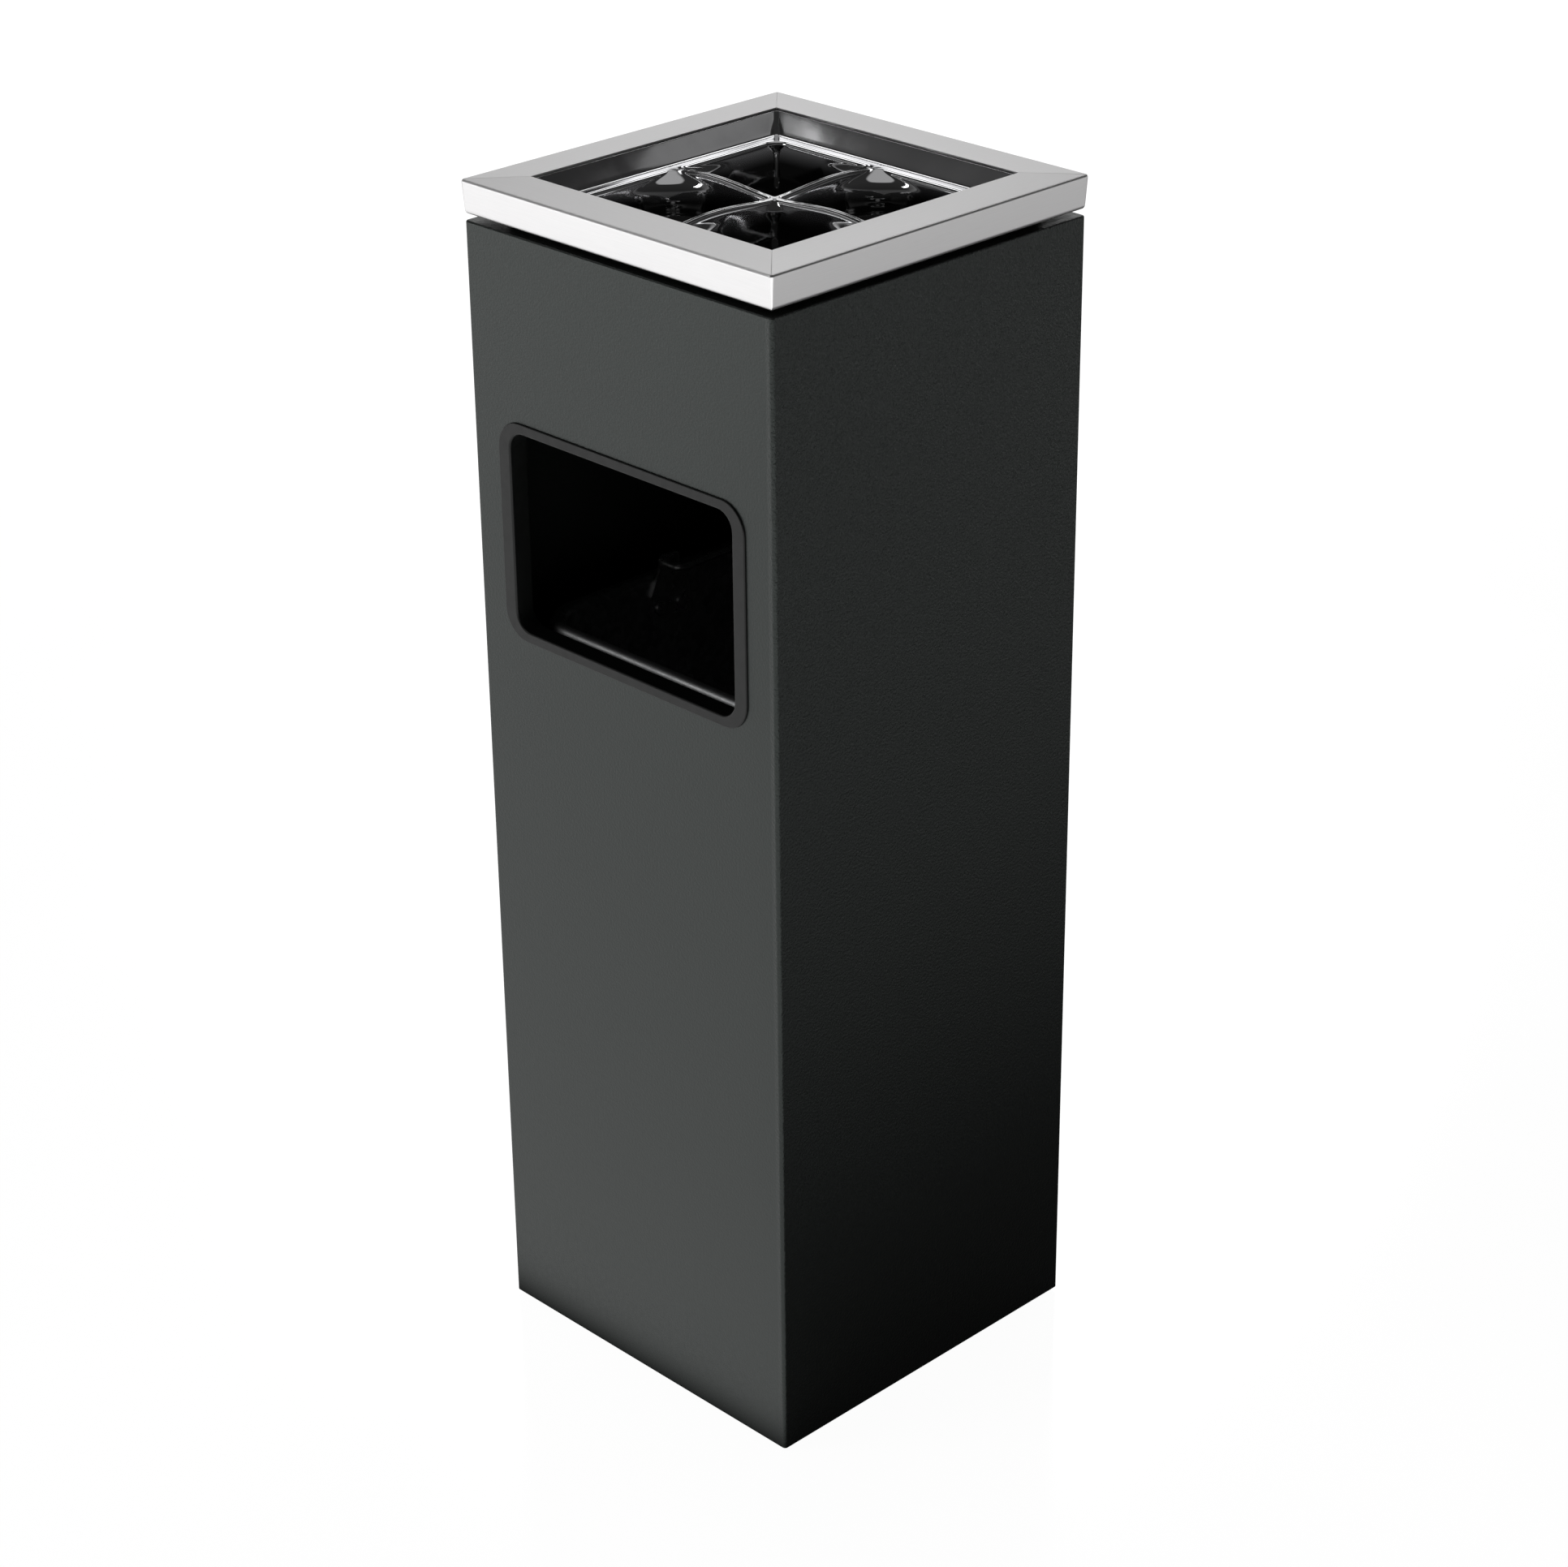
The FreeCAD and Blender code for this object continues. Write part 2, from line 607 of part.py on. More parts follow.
def bail_handle():
    """Wire bail lying back on the bucket's rear bead, hooked outwards through both ears."""
    right = [(BAIL_HOOK_X, BAIL_HOOK_LENGTH), (BAIL_HOOK_X, 0), (BAIL_ARM_X, 0),
             (BAIL_ARM_X, BAIL_REACH)]
    route = right + [(-x, y) for x, y in right[::-1]]
    radii = [0, BAIL_HOOK_BEND_R, BAIL_HOOK_BEND_R, BAIL_BEND_R]
    edges = rounded_path([V(x, y, PIVOT_Z) for x, y in route], radii + radii[::-1], False)
    start = V(BAIL_HOOK_X, BAIL_HOOK_LENGTH, PIVOT_Z)
    profile = Part.Wire(Part.makeCircle(BAIL_WIRE_R, start, BACKWARDS))
    return Part.Wire(edges).makePipeShell([profile], True, False)


# ---------------------------------------------------------------- nodes


def main():
    places = foot_places()
    nodes = {
        "body_shell": body_shell(),
        "opening_trim": opening_trim(),
        "base_plate": base_plate(),
        "foot_screws": Part.Compound([foot_screw(place) for place in places.values()]),
        "foot_washers": Part.Compound([foot_washer(place) for place in places.values()]),
        "foot_nuts": Part.Compound([foot_nut(place) for place in places.values()]),
        "rim_frame": rim_frame(),
        "ash_dish": ash_dish(),
        "seat_collar": seat_collar(),
        "bucket_wall": bucket_wall(),
        "bucket_bottom": bucket_bottom(),
        "bucket_rim_wire": bucket_rim_wire(),
        "bail_ear_left": bail_ear(-1),
        "bail_ear_right": bail_ear(1),
        "ear_rivets": Part.Compound([ear_rivet(place) for place in rivet_places()]),
        "bail_handle": bail_handle(),
    }
    for name, place in places.items():
        nodes["foot_" + name] = rubber_foot(place)
    for node, shape in nodes.items():
        export(node, shape)
        print(node, "valid", shape.isValid(), "solids", len(shape.Solids),
              "volume", round(shape.Volume), "mm3")


main()
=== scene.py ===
import math

import bmesh
import bpy
from mathutils import Matrix, Quaternion, Vector


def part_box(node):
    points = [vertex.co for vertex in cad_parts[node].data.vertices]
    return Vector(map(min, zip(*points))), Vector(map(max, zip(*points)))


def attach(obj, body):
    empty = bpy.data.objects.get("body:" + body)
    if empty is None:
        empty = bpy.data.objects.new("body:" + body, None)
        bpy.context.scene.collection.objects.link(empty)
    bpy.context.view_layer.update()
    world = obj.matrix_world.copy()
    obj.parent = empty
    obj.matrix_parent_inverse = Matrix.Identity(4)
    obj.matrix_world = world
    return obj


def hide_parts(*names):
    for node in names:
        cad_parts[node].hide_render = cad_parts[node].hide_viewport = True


# Ashtray bin: the looks. Metres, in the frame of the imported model: +Z up, -Y is the front.

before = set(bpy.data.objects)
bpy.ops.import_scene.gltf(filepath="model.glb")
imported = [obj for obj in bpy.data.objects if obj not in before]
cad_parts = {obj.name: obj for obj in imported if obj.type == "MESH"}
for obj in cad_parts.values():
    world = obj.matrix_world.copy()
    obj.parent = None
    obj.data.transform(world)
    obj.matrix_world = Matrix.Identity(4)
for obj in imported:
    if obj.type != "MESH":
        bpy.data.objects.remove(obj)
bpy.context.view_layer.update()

MM = 0.001
TOUCHING = 1e-9                 # places closer than this are one place
HALF_TURN = math.pi
QUARTER_TURN = math.pi / 2
WHITE = (1, 1, 1, 1)

# ---------------------------------------------------------------- sizes read from the frame

SHELL_LOW, SHELL_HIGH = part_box("body_shell")
TRIM_LOW, TRIM_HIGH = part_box("opening_trim")
RIM_LOW, RIM_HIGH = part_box("rim_frame")
DISH_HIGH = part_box("ash_dish")[1]
BUCKET_LOW, BUCKET_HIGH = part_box("bucket_wall")
BAIL_LOW, BAIL_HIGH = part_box("bail_handle")

BODY_HALF = SHELL_HIGH.x
BODY_TOP = SHELL_HIGH.z
OPENING_Z = (TRIM_LOW.z + TRIM_HIGH.z) / 2

# ---------------------------------------------------------------- details of the sheet and pressings

CORNER_STEPS = 8                # columns in each rounded corner; even, so one lies on the mitre
ARC_STEPS = 6
WELD_DISTANCE = 0.002 * MM
SHARP_ANGLE = math.radians(50)

BODY_SHEET = 1.0 * MM
BODY_CORNER_R = 2.0 * MM
BODY_EDGE_R = 0.25 * MM
TOP_BEND_R = 0.9 * MM
TOP_OPENING_HALF = 87.5 * MM
TOP_OPENING_R = 12.0 * MM
TOP_LIP_DROP = 6.0 * MM
TALL_FACE = 100.0 * MM          # only faces of the walls are taller
GRAIN_LOW_Z = 100.0 * MM        # below this height the powder coat's grain is faintest

# Back seam of the column, as (along, depth) in millimetres.
SEAM_GROOVE = ((0.9, 0.0), (0.45, 0.04), (0.2, 0.3), (0.0, 0.36), (-0.2, 0.3), (-0.45, 0.04), (-0.9, 0.0))

TRIM_OPENING = (74.0 * MM, 49.75 * MM, 9.0 * MM)
TRIM_SLEEVE = (76.0 * MM, 51.75 * MM, 11.0 * MM)
TRIM_OUTER_R = 14.5 * MM
TRIM_EDGE_R = 0.6 * MM
TRIM_MOUTH_R = 1.0 * MM
SHEET_HOLE_GAP = 0.2 * MM
BARB_REACH = 1.2 * MM
BARB_DEPTH = 3.0 * MM
BARB_LENGTH = 14.0 * MM
BARB_ROOT = 0.5 * MM
BARB_SPREADS = (42.0 * MM, 24.0 * MM)      # from the middle of the long sides, and of the short ones

RIM_BAND = 23.0 * MM
RIM_RISE = 1.0 * MM
RIM_SHEET = 1.0 * MM
RIM_CORNER_R = 2.0 * MM
RIM_BEND_R = 1.2 * MM
RIM_INSIDE_BEND_R = 0.3 * MM
RIM_INNER_EDGE_R = 0.25 * MM
SKIRT_LEAN = 1.2 * MM
SKIRT_ROLL_R = 2.5 * MM
SKIRT_LIP = 5.0 * MM
MITRE_WIDTH = 0.16 * MM
MITRE_DEPTH = 0.12 * MM
MITRE_STOP = 0.6 * RIM_BEND_R   # the groove ends this far from the band's outer edge
MITRE_WITHIN = 0.1 * MM         # rings this little below the band's outer edge are on the band

DISH_SHEET = 0.8 * MM
DISH_MOUTH_HALF = 77.6 * MM
DISH_LEDGE_HALF = 70.7 * MM
LEDGE_Z = RIM_HIGH.z - 10.7 * MM
DISH_CORNER_R = 2.0 * MM
DISH_MOUTH_R = 0.5 * MM
DISH_BEND_R = 2.2 * MM
POCKET_OUTER = 64.5 * MM
POCKET_INNER = 1.9 * MM
POCKET_STEPS = 10
POCKET_DEPTH = 22.0 * MM
POCKET_DRAFT = 4.0 * MM
POCKET_LIP_R = 2.2 * MM
POCKET_FLOOR_R = 6.0 * MM

# Radii of a pocket's corners at these depths below the ledge: where the ridge's arms end, at the
# outer corner, and at the crossing of the arms.
CORNER_DEPTHS = (0.0 * MM, 4.5 * MM, 9.0 * MM, 22.0 * MM)
RIDGE_END_R = (4.5 * MM, 27.0 * MM, 27.0 * MM, 24.0 * MM)
OUTER_R = (8.0 * MM, 3.0 * MM, 2.5 * MM, 2.5 * MM)
CROSSING_R = (1.5 * MM, 7.0 * MM, 3.0 * MM, 3.0 * MM)

WALL_STEP = 1.8 * MM
PAINTED_SHADE_LOW_Z = LEDGE_Z - 10.0 * MM       # painted shade makes the mirror steel darkest below this
PAINTED_SHADE_HIGH_Z = LEDGE_Z - 3.0 * MM       # and there is no painted shade above this
LEDGE_STEPS = 4
CROWN = 2.5 * MM
CROWN_PEAK = 39.0 * MM
CROWN_WIDTH = 9.0 * MM
CROWN_DEPTH = 8.0 * MM

BUCKET_CORE = 58.0 * MM         # centres of the corner arcs, from the centre planes
BUCKET_INNER = 78.0 * MM
BUCKET_SHEET = 0.7 * MM
BEAD_R = 4.0 * MM
CURL_TURN = math.radians(295)
CURL_STEPS = 30
BUCKET_SEAM = 12.0 * MM
SEAM_MARGIN = 1.0 * MM
SEAM_EDGE = 0.3 * MM
SEAM_SHOULDER = 0.6             # share of the seam's thickness below its chamfer

BAIL_WIRE_R = 2.0 * MM
BAIL_ARM_X = 70.5 * MM
BAIL_BEND_R = 12.0 * MM
BAIL_HOOK_LENGTH = 9.0 * MM
BAIL_HOOK_BEND_R = 3.0 * MM
WIRE_SIDES = 20

# ---------------------------------------------------------------- camera, fitted to the photo

CAMERA_AT = (1157.85 * MM, -1128.72 * MM, 1087.74 * MM)
CAMERA_HEADING = math.radians(45.683)
CAMERA_DIP = math.radians(26.093)
CAMERA_ROLL = math.radians(-0.632)
CAMERA_LENS = 84.54
SENSOR_WIDTH = 36.0
CAMERA_REACH = 100


def make_camera():
    data = bpy.data.cameras.new("camera")
    data.lens = CAMERA_LENS
    data.sensor_width = SENSOR_WIDTH
    data.clip_end = CAMERA_REACH
    camera = bpy.data.objects.new("camera", data)
    bpy.context.scene.collection.objects.link(camera)
    camera.location = CAMERA_AT
    turn = Matrix.Rotation(CAMERA_HEADING, 4, "Z")
    turn = turn @ Matrix.Rotation(QUARTER_TURN - CAMERA_DIP, 4, "X")
    turn = turn @ Matrix.Rotation(CAMERA_ROLL, 4, "Z")
    camera.rotation_mode = "QUATERNION"
    camera.rotation_quaternion = turn.to_quaternion()
    bpy.context.scene.camera = camera


# ---------------------------------------------------------------- outlines and skins


def rounded_outline(half_x, half_y, radii, steps=2, seam=None):
    """Anticlockwise points of a rounded rectangle, from its right front corner. radii is one value
    or one for each corner. Each straight side has steps - 1 points, or on the far side one for
    each (offset along, depth in) of seam."""
    radii = radii if isinstance(radii, tuple) else (radii,) * 4
    corners = []
    for quarter, (sx, sy) in enumerate(((1, -1), (1, 1), (-1, 1), (-1, -1))):
        radius = radii[quarter]
        arc_points = []
        for step in range(CORNER_STEPS + 1):
            angle = QUARTER_TURN * (quarter - 1 + step / CORNER_STEPS)
            arc_points.append(Vector((
                sx * (half_x - radius) + radius * math.cos(angle),
                sy * (half_y - radius) + radius * math.sin(angle),
            )))
        corners.append(arc_points)
    points = []
    for quarter, arc_points in enumerate(corners):
        points += arc_points
        if quarter == 1 and seam:
            points += [Vector((along, half_y - depth)) for along, depth in seam]
        else:
            ahead = corners[(quarter + 1) % 4][0]
            points += [arc_points[-1].lerp(ahead, step / steps) for step in range(1, steps)]
    return points


def level(points, z):
    return [Vector((p.x, p.y, z)) for p in points]


def upright(points, y):
    """Outline standing in the front face's plane, about the waste opening's centre."""
    return [Vector((p.x, y, OPENING_Z + p.y)) for p in points]


def square(half, radii, z, steps=2):
    return level(rounded_outline(half, half, radii, steps), z)


def add_skin(bm, rings, closed=False, skip=None):
    """Quads between each ring of points and the next, except where skip is true of the corners."""
    rows = [[bm.verts.new(point) for point in ring] for ring in rings]
    if closed:
        rows.append(rows[0])
    for lower, upper in zip(rows, rows[1:]):
        count = len(lower)
        for i in range(count):
            corners = (lower[i], lower[(i + 1) % count], upper[(i + 1) % count], upper[i])
            if skip is None or not skip([v.co for v in corners]):
                bm.faces.new(corners)
    return rows


def cap_ends(bm, rows):
    bm.faces.new(rows[0])
    bm.faces.new(rows[-1])


def arc(centre, radius, start, end, steps=ARC_STEPS):
    """Points of an arc in a section plane, as (across, height), ends included."""
    points = []
    for step in range(steps + 1):
        angle = start + (end - start) * step / steps
        points.append((centre[0] + radius * math.cos(angle), centre[1] + radius * math.sin(angle)))
    return points


def rounded_section(points, radii):
    """Section with its corners turned into arcs; radius 0 keeps a corner sharp."""
    result = []
    count = len(points)
    for i, (corner, radius) in enumerate(zip(points, radii)):
        corner = Vector(corner)
        if radius == 0:
            result.append(tuple(corner))
            continue
        back = (Vector(points[i - 1]) - corner).normalized()
        ahead = (Vector(points[(i + 1) % count]) - corner).normalized()
        half_angle = back.angle(ahead) / 2
        centre = corner + (back + ahead).normalized() * (radius / math.sin(half_angle))
        first = corner + back * (radius / math.tan(half_angle)) - centre
        last = corner + ahead * (radius / math.tan(half_angle)) - centre
        start = math.atan2(first.y, first.x)
        sweep = first.angle_signed(last)
        result += arc(centre, radius, start, start - sweep)
    return result


def finer(section, step):
    """Section with its long straight runs divided."""
    result = [section[0]]
    for last, point in zip(section, section[1:]):
        last = Vector(last)
        run = Vector(point) - last
        parts = max(1, round(run.length / step))
        result += [tuple(last + run * part / parts) for part in range(1, parts + 1)]
    return result


def finish_piece(bm, name, body, materials, node):
    """Cleans the mesh, shades it, and puts it on its body in place of the CAD node."""
    bmesh.ops.remove_doubles(bm, verts=bm.verts, dist=WELD_DISTANCE)
    bmesh.ops.recalc_face_normals(bm, faces=bm.faces)
    mesh = bpy.data.meshes.new(name)
    bm.to_mesh(mesh)
    bm.free()
    mesh.shade_smooth()
    mesh.set_sharp_from_angle(angle=SHARP_ANGLE)
    piece = bpy.data.objects.new(name, mesh)
    bpy.context.scene.collection.objects.link(piece)
    for material in materials:
        mesh.materials.append(material)
    weighted = piece.modifiers.new("even_normals", "WEIGHTED_NORMAL")
    weighted.keep_sharp = True
    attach(piece, body)
    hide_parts(node)
    return piece


# ---------------------------------------------------------------- materials

NOISE_LOW, NOISE_HIGH = 0.3, 0.7        # most of a noise lies between these

# Base colours, darkest first.
COAT_TONES = ((0.0050, 0.0058, 0.0054), (0.0058, 0.0067, 0.0062))
COAT_TINT = (0.90, 1.0, 0.96, 1.0)      # of the coat's reflections
PLASTIC_TONES = ((0.0030, 0.0034, 0.0032), (0.0036, 0.0040, 0.0038))
SATIN_TONES = ((0.645, 0.64, 0.642), (0.675, 0.67, 0.672))
# The first mirror tone is painted shade deep in the pockets; the other two are the steel's own.
MIRROR_TONES = ((0.14, 0.14, 0.14), (0.62, 0.62, 0.63), (0.66, 0.66, 0.67))
GALVANISED_TONES = ((0.30, 0.305, 0.31), (0.58, 0.585, 0.59))
ZINC_TONES = ((0.50, 0.505, 0.50), (0.66, 0.665, 0.66))
RUBBER_TONES = ((0.018, 0.018, 0.018), (0.03, 0.03, 0.03))
FLOOR_TONES = ((0.10, 0.10, 0.10), (0.11, 0.11, 0.11))


def set_range(node, low, high, to_low, to_high):
    """Sets a Map Range node to turn low..high into to_low..to_high."""
    sockets = ("From Min", "From Max", "To Min", "To Max")
    for socket, number in zip(sockets, (low, high, to_low, to_high)):
        node.inputs[socket].default_value = number


class Finish:
    """A node material on one Principled shader, with short calls for the nodes that it needs. The
    scale of a noise is in cells per metre, and the depth of a bump is in metres."""

    def __init__(self, name, **sockets):
        self.material = bpy.data.materials.new(name)
        self.material.use_nodes = True
        self.nodes = self.material.node_tree.nodes
        self.links = self.material.node_tree.links
        self.shader = self.nodes["Principled BSDF"]
        self.place = self.nodes.new("ShaderNodeTexCoord").outputs["Object"]
        for socket, value in sockets.items():
            self.shader.inputs[socket.replace("_", " ")].default_value = value

    def axes(self):
        """The place's outputs X, Y and Z."""
        node = self.nodes.new("ShaderNodeSeparateXYZ")
        self.links.new(self.place, node.inputs["Vector"])
        return node.outputs

    def stretched(self, scale):
        mapping = self.nodes.new("ShaderNodeMapping")
        mapping.inputs["Scale"].default_value = scale
        self.links.new(self.place, mapping.inputs["Vector"])
        return mapping.outputs["Vector"]

    def noise(self, scale, detail=3.0, roughness=0.5, place=None):
        node = self.nodes.new("ShaderNodeTexNoise")
        node.inputs["Scale"].default_value = scale
        node.inputs["Detail"].default_value = detail
        node.inputs["Roughness"].default_value = roughness
        self.links.new(place or self.place, node.inputs["Vector"])
        return node.outputs["Fac"]

    def cells(self, scale):
        """A random value for each cell of a Voronoi pattern."""
        node = self.nodes.new("ShaderNodeTexVoronoi")
        node.inputs["Scale"].default_value = scale
        self.links.new(self.place, node.inputs["Vector"])
        return node.outputs["Color"]

    def ramp(self, value, low, high, to_low, to_high):
        node = self.nodes.new("ShaderNodeMapRange")
        set_range(node, low, high, to_low, to_high)
        self.links.new(value, node.inputs["Value"])
        return node.outputs["Result"]

    def tones(self, value, *stops):
        node = self.nodes.new("ShaderNodeValToRGB")
        elements = node.color_ramp.elements
        while len(elements) < len(stops):
            elements.new(0.5)
        for element, (position, colour) in zip(elements, stops):
            element.position = position
            element.color = (*colour, 1)
        self.links.new(value, node.inputs["Fac"])
        return node.outputs["Color"]

    def add(self, first, second, share):
        """The first value plus a share of the second."""
        node = self.nodes.new("ShaderNodeMath")
        node.operation = "MULTIPLY_ADD"
        self.links.new(second, node.inputs[0])
        node.inputs[1].default_value = share
        self.links.new(first, node.inputs[2])
        return node.outputs["Value"]

    def times(self, first, second):
        node = self.nodes.new("ShaderNodeMath")
        node.operation = "MULTIPLY"
        self.links.new(first, node.inputs[0])
        self.links.new(second, node.inputs[1])
        return node.outputs["Value"]

    def colour(self, value, *stops):
        """Base colour from a value, by (position, colour) stops."""
        self.links.new(self.tones(value, *stops), self.shader.inputs["Base Color"])

    def mottled(self, noise, dark, light):
        """Base colour from a noise."""
        self.colour(noise, (NOISE_LOW, dark), (NOISE_HIGH, light))

    def roughness(self, value, low, high, to_low, to_high):
        ramp = self.ramp(value, low, high, to_low, to_high)
        self.links.new(ramp, self.shader.inputs["Roughness"])

    def uneven(self, noise, smooth, rough):
        """Roughness from a noise."""
        self.roughness(noise, NOISE_LOW, NOISE_HIGH, smooth, rough)

    def bump(self, height, depth, strength=1.0):
        """Bump by a height, on top of the bumps set before."""
        node = self.nodes.new("ShaderNodeBump")
        node.inputs["Distance"].default_value = depth
        node.inputs["Strength"].default_value = strength
        self.links.new(height, node.inputs["Height"])
        normal = self.shader.inputs["Normal"]
        if normal.is_linked:
            self.links.new(normal.links[0].from_socket, node.inputs["Normal"])
        self.links.new(node.outputs["Normal"], normal)


def powder_coat():
    """Black powder coat with a fine grain, strongest on the upper part of the right side."""
    finish = Finish("black_powder_coat", Specular_IOR_Level=0.35, Specular_Tint=COAT_TINT)
    axes = finish.axes()
    side = finish.ramp(axes["X"], BODY_HALF - 2 * BODY_CORNER_R, BODY_HALF, 0.25, 1.0)
    high = finish.ramp(axes["Z"], GRAIN_LOW_Z, BODY_TOP, 0.35, 1.0)
    grain = finish.add(finish.noise(760, 2.0, 0.55), finish.noise(1700, 2.0, 0.6), 0.4)
    grain = finish.times(finish.times(side, high), grain)
    finish.mottled(finish.noise(9, 2.0), *COAT_TONES)
    finish.uneven(finish.noise(300), 0.28, 0.36)
    finish.bump(grain, 0.7 * MM)
    return finish.material


def moulded_plastic():
    """Smooth black moulding with a faint fine texture."""
    finish = Finish("black_plastic", Specular_IOR_Level=0.24)
    finish.mottled(finish.noise(40), *PLASTIC_TONES)
    finish.uneven(finish.noise(220, 2.0), 0.40, 0.48)
    finish.bump(finish.noise(2400, 2.0), 0.012 * MM, 0.5)
    return finish.material


def satin_steel(name, along):
    """Satin stainless sheet, finely brushed in the direction of along."""
    finish = Finish(name, Metallic=1.0)
    along = Vector(along)
    across = Vector((1, 1, 1)) - along
    lines = finish.noise(3200, 2.0, 0.5, finish.stretched(across + along * 0.02))
    broad = finish.noise(14, 2.0, 0.5, finish.stretched(across + along * 0.3))
    finish.mottled(lines, *SATIN_TONES)
    finish.roughness(finish.add(lines, broad, 0.8), 0.5, 1.3, 0.34, 0.40)
    finish.bump(lines, 0.0015 * MM, 0.5)
    return finish.material


def mirror_steel():
    """Polished pressed stainless, not quite flat, with painted shade that darkens its colour with depth
    inside the pockets.
    """
    finish = Finish("mirror_steel", Metallic=1.0)
    # Painted shade: the colour is darkened deep in the pockets, where shade falls, with a little random
    # tone added.
    above_painted_shade = finish.ramp(finish.axes()["Z"], PAINTED_SHADE_LOW_Z, PAINTED_SHADE_HIGH_Z, 0.0, 1.0)
    painted_shade_and_tone = finish.add(above_painted_shade, finish.noise(30), 0.2)
    painted_shade_tone, dull, bright = MIRROR_TONES
    finish.colour(painted_shade_and_tone, (0.05, painted_shade_tone), (1.0, dull), (1.0, bright))
    finish.uneven(finish.noise(60), 0.045, 0.085)
    finish.bump(finish.noise(13, 1.0, 0.4), 3.0 * MM, 0.5)
    finish.bump(finish.noise(900, 2.0), 0.002 * MM, 0.2)
    return finish.material


def galvanised_steel():
    """Dull zinc with a spangle of crystals, handled and slightly stained."""
    finish = Finish("galvanised_steel", Metallic=1.0)
    spangle = finish.add(finish.noise(45, 4.0, 0.6), finish.cells(230), 0.35)
    dark, light = GALVANISED_TONES
    finish.colour(spangle, (0.35, dark), (0.9, light))
    finish.roughness(spangle, 0.3, 1.0, 0.48, 0.30)
    finish.bump(finish.noise(700, 3.0, 0.6), 0.03 * MM, 0.6)
    return finish.material


def zinc_plate():
    """Bright zinc plating on wire and fasteners."""
    finish = Finish("zinc_plate", Metallic=1.0)
    finish.mottled(finish.noise(90), *ZINC_TONES)
    finish.uneven(finish.noise(260), 0.24, 0.40)
    finish.bump(finish.noise(1300, 2.0), 0.01 * MM, 0.5)
    return finish.material


def black_rubber():
    """Matt moulded rubber."""
    finish = Finish("black_rubber", Specular_IOR_Level=0.3)
    finish.mottled(finish.noise(120), *RUBBER_TONES)
    finish.uneven(finish.noise(400), 0.65, 0.85)
    finish.bump(finish.noise(1600, 2.0), 0.03 * MM, 0.5)
    return finish.material


COAT = powder_coat()
PLASTIC = moulded_plastic()
SATIN_X = satin_steel("satin_steel_across", (1, 0, 0))
SATIN_Y = satin_steel("satin_steel_deep", (0, 1, 0))
MIRROR = mirror_steel()
GALVANISED = galvanised_steel()
ZINC = zinc_plate()
RUBBER = black_rubber()


# ---------------------------------------------------------------- column


def front_hole():
    """Half width, half height and corner radius of the hole in the front sheet."""
    return [size + SHEET_HOLE_GAP for size in TRIM_SLEEVE]


def wall_ring(inset, z, seam):
    """Ring of the column's walls, inset from their outer faces."""
    half = BODY_HALF - inset
    return level(rounded_outline(half, half, BODY_CORNER_R - inset, seam=seam), z)


def lip_ring(grow, z, seam):
    """Ring of the lip that is turned down round the top opening."""
    half = TOP_OPENING_HALF + grow
    return level(rounded_outline(half, half, TOP_OPENING_R + grow, seam=seam), z)


def column_rings():
    """Rings up the outside, over the bent top edge, round the lip and down the inside."""
    groove = [(along * MM, depth * MM) for along, depth in SEAM_GROOVE]
    flat = [(along, 0.0) for along, depth in groove]
    foot = SHELL_LOW.z
    ceiling = BODY_TOP - BODY_SHEET
    lip_foot = BODY_TOP - TOP_LIP_DROP
    rings = [
        wall_ring(BODY_EDGE_R, foot, groove),
        wall_ring(0, foot + BODY_EDGE_R, groove),
        wall_ring(0, OPENING_Z, groove),
        wall_ring(0, BODY_TOP - 2 * TOP_BEND_R, groove),
    ]
    for across, height in arc((0, 0), TOP_BEND_R, 0, QUARTER_TURN):
        rings.append(wall_ring(TOP_BEND_R - across, BODY_TOP - TOP_BEND_R + height, flat))
    for across, height in arc((0, 0), BODY_SHEET, QUARTER_TURN, HALF_TURN):
        rings.append(lip_ring(BODY_SHEET + across, ceiling + height, flat))
    return rings + [
        lip_ring(0, lip_foot, flat),
        lip_ring(BODY_SHEET, lip_foot, flat),
        lip_ring(BODY_SHEET, ceiling, flat),
        wall_ring(BODY_SHEET, ceiling, flat),
        wall_ring(BODY_SHEET, OPENING_Z, flat),
        wall_ring(BODY_SHEET, foot, flat),
    ]


def is_front_wall(points):
    """Whether a face lies where the front panels with their hole go instead."""
    heights = [p.z for p in points]
    offsets = [abs(p.x) for p in points]
    in_front = max(p.y for p in points) < -BODY_HALF + 2 * BODY_SHEET
    tall = max(heights) - min(heights) > TALL_FACE
    half_width = max(offsets) > BODY_HALF - 2 * BODY_CORNER_R and min(offsets) < TOUCHING
    return in_front and tall and half_width


def make_column():
    """Folded sheet column: walls, turned-in top edge with its lip, back seam and front hole."""
    bm = bmesh.new()
    add_skin(bm, column_rings(), closed=True, skip=is_front_wall)
    inside = BODY_HALF - BODY_SHEET
    add_front_panel(bm, BODY_HALF, SHELL_LOW.z + BODY_EDGE_R, BODY_TOP - 2 * TOP_BEND_R)
    add_front_panel(bm, inside, SHELL_LOW.z, BODY_TOP - BODY_SHEET)
    hole = rounded_outline(*front_hole())
    add_skin(bm, [upright(hole, -BODY_HALF), upright(hole, -inside)])
    finish_piece(bm, "column", "cabinet", [COAT], "body_shell")


def add_front_panel(bm, depth, low, high):
    """Flat front sheet between two heights, with the waste opening's hole."""
    edge = []
    for point in rounded_outline(BODY_HALF - BODY_CORNER_R, 1.0, 0.0):
        z = OPENING_Z if abs(point.y) < TOUCHING else (high if point.y > 0 else low)
        edge.append(Vector((point.x, -depth, z)))
    add_skin(bm, [edge, upright(rounded_outline(*front_hole()), -depth)])


